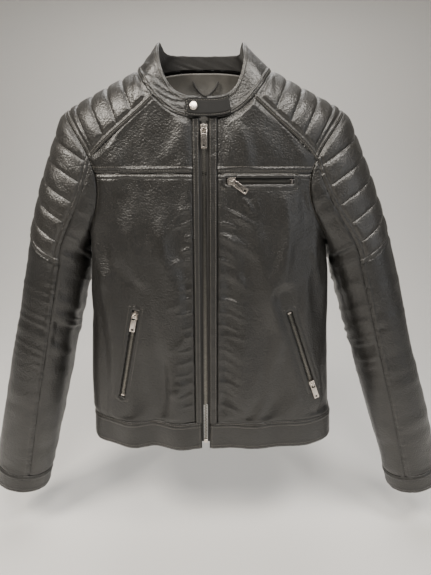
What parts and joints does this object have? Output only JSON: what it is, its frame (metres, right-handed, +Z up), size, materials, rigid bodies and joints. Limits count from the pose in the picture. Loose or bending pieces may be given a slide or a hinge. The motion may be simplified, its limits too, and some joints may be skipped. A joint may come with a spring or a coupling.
{
  "type": "zip-front biker jacket",
  "caption": "Zip-front leather-look biker jacket with padded shoulders and sleeves, a stand collar with a snap tab, a chest zip and slanted hand zips.",
  "frame": {"origin": "the middle of the hanger's line, level with the side neck points and half way between front and back", "axes": "+Z up, -Y out of the jacket's front, -X to the wearer's right"},
  "size_m": [0.8877, 0.1591, 0.805],
  "materials": {
    "leather": "near-black pebbled leather with a soft sheen",
    "pad_leather": "the same leather, quilted over padding",
    "lining": "grey satin",
    "cloth": "matt black cloth",
    "zip_tape": "woven black tape",
    "zip_metal": "aged nickel",
    "nickel": "brushed nickel"
  },
  "bodies": {
    "jacket_body": {"right_front_zip_tape": "zip_tape", "right_front_zip_teeth": "zip_metal", "left_front_zip_tape": "zip_tape", "left_front_zip_teeth": "zip_metal", "front_zip_box": "nickel", "chest_pocket_zip_tape": "zip_tape", "chest_pocket_zip_teeth": "zip_metal", "right_pocket_zip_tape": "zip_tape", "right_pocket_zip_teeth": "zip_metal", "left_pocket_zip_tape": "zip_tape", "left_pocket_zip_teeth": "zip_metal", "right_front_panel": "leather", "right_front_hem_band": "leather", "right_placket": "leather", "right_front_yoke": "leather", "right_shoulder_pad": "pad_leather", "right_front_lining": "lining", "right_shoulder_stay": "cloth", "right_pocket_bag": "cloth", "left_front_panel": "leather", "left_front_hem_band": "leather", "left_placket": "leather", "left_front_yoke": "leather", "left_shoulder_pad": "pad_leather", "left_front_lining": "lining", "left_shoulder_stay": "cloth", "left_pocket_bag": "cloth", "chest_pocket_bag": "cloth", "back_panel": "leather", "back_hem_band": "leather", "back_yoke": "leather", "yoke_lining": "lining", "back_lining": "lining", "collar": "leather", "collar_facing": "leather", "snap_stud": "zip_metal", "snap_post": "zip_metal", "hang_loop": "cloth"},
    "right_sleeve": {"right_sleeve_pad": "pad_leather", "right_outer_sleeve": "leather", "right_under_sleeve": "leather", "right_cuff": "leather", "right_sleeve_lining": "lining"},
    "left_sleeve": {"left_sleeve_pad": "pad_leather", "left_outer_sleeve": "leather", "left_under_sleeve": "leather", "left_cuff": "leather", "left_sleeve_lining": "lining"},
    "front_slider": {"front_slider": "nickel"},
    "front_pull": {"front_pull": "nickel"},
    "chest_pocket_slider": {"chest_pocket_slider": "nickel"},
    "chest_pocket_pull": {"chest_pocket_pull": "nickel"},
    "right_pocket_slider": {"right_pocket_slider": "nickel"},
    "right_pocket_pull": {"right_pocket_pull": "nickel"},
    "left_pocket_slider": {"left_pocket_slider": "nickel"},
    "left_pocket_pull": {"left_pocket_pull": "nickel"},
    "collar_tab": {"collar_tab": "leather", "snap_cap": "nickel", "snap_socket": "zip_metal"}
  },
  "joints": [
    {"name": "front_zip_slide", "type": "slide", "parent": "jacket_body", "child": "front_slider", "axis": [0, 0, -1], "range_m": [0, 0.514]},
    {"name": "front_pull_hinge", "type": "hinge", "parent": "front_slider", "child": "front_pull", "pos_m": [0, -0.0823, -0.0885], "axis": [-1, 0, 0], "range_deg": [0, 150]},
    {"name": "chest_pocket_zip_arc", "type": "hinge", "parent": "jacket_body", "child": "chest_pocket_slider", "pos_m": [0.04765, 0.45711, -0.16058], "axis": [0.0004, -0.0064, 1], "range_deg": [0, 9.09]},
    {"name": "right_pocket_zip_slide", "type": "slide", "parent": "jacket_body", "child": "right_pocket_slider", "axis": [-0.1985, 0.0306, -0.9796], "range_m": [0, 0.1442]},
    {"name": "left_pocket_zip_arc", "type": "hinge", "parent": "jacket_body", "child": "left_pocket_slider", "pos_m": [-0.1896, 1.29829, -0.46236], "axis": [-0.911, -0.24, -0.3354], "range_deg": [0, 5.46]},
    {"name": "chest_pocket_pull_hinge", "type": "hinge", "parent": "chest_pocket_slider", "child": "chest_pocket_pull", "pos_m": [0.04154, -0.08229, -0.16402], "axis": [-0.565, 0.0117, -0.825], "range_deg": [0, 160]},
    {"name": "right_pocket_pull_hinge", "type": "hinge", "parent": "right_pocket_slider", "child": "right_pocket_pull", "pos_m": [-0.11638, -0.07718, -0.37938], "axis": [-0.9653, 0.167, 0.2008], "range_deg": [0, 160]},
    {"name": "left_pocket_pull_hinge", "type": "hinge", "parent": "left_pocket_slider", "child": "left_pocket_pull", "pos_m": [0.18657, -0.06423, -0.50888], "axis": [-0.911, -0.24, -0.3354], "range_deg": [0, 160]},
    {"name": "collar_tab_hinge", "type": "hinge", "parent": "jacket_body", "child": "collar_tab", "pos_m": [0.03807, -0.0803, -0.05358], "axis": [-0.1402, 0.2068, 0.9683], "range_deg": [0, 110]},
    {"name": "right_sleeve_swing", "type": "hinge", "parent": "jacket_body", "child": "right_sleeve", "pos_m": [-0.222, 0, -0.058], "axis": [0, 1, 0], "range_deg": [0, 40]},
    {"name": "left_sleeve_swing", "type": "hinge", "parent": "jacket_body", "child": "left_sleeve", "pos_m": [0.222, 0, -0.058], "axis": [0, -1, 0], "range_deg": [0, 40]}
  ]
}
